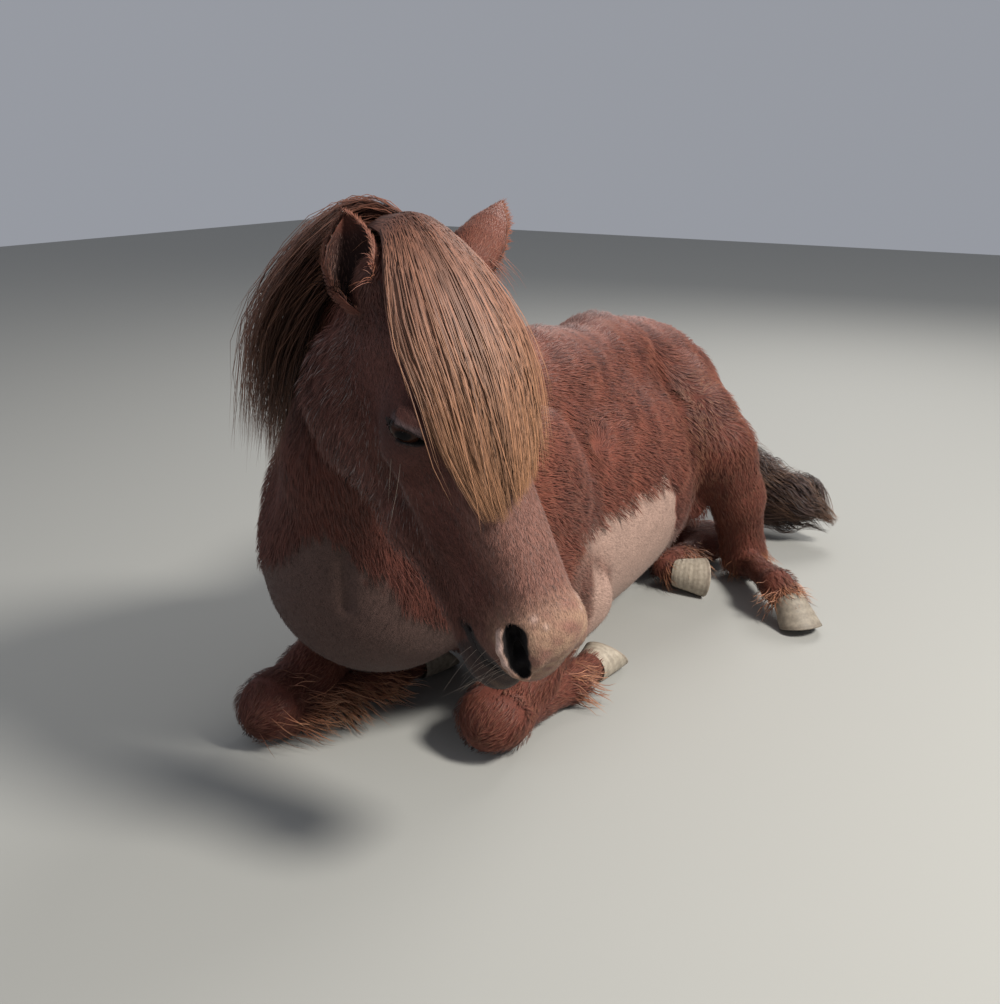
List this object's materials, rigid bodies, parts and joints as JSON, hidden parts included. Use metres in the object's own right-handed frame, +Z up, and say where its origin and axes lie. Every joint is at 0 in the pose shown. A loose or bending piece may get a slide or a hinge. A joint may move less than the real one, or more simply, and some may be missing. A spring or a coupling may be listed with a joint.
{
  "type": "lying shetland pony",
  "caption": "Life-size Shetland pony resting on its chest with forelegs folded under it, head low and turned to its left, with a long forelock, mane and tail",
  "frame": {"origin": "On the floor under the middle of the pony's bounding box", "axes": "+Z up, the pony's body lies along Y and faces -Y, and its left side is towards +X"},
  "size_m": [0.642, 1.4342, 0.7517],
  "materials": {
    "chestnut_coat": "thick short fur, dark reddish chestnut, clipped to pale grey-brown on breast and belly",
    "leg_coat": "shaggy reddish brown fur",
    "mane_hair": "long straight flaxen brown hair",
    "tail_hair": "long coarse dark brown hair",
    "horn": "pale hoof horn",
    "eye": "wet dark brown eye"
  },
  "bodies": {
    "root": {"head": "chestnut_coat", "neck": "chestnut_coat", "trunk": "chestnut_coat", "ear_left": "chestnut_coat", "ear_right": "chestnut_coat", "eye_left": "eye", "eye_right": "eye", "fore_left_upper": "chestnut_coat", "fore_left_lower": "leg_coat", "fore_left_hoof": "horn", "fore_right_upper": "chestnut_coat", "fore_right_lower": "leg_coat", "fore_right_hoof": "horn", "hind_left_upper": "chestnut_coat", "hind_left_lower": "leg_coat", "hind_left_hoof": "horn", "hind_right_upper": "chestnut_coat", "hind_right_lower": "leg_coat", "hind_right_hoof": "horn", "forelock": "mane_hair", "mane": "mane_hair", "tail": "tail_hair"}
  },
  "joints": []
}
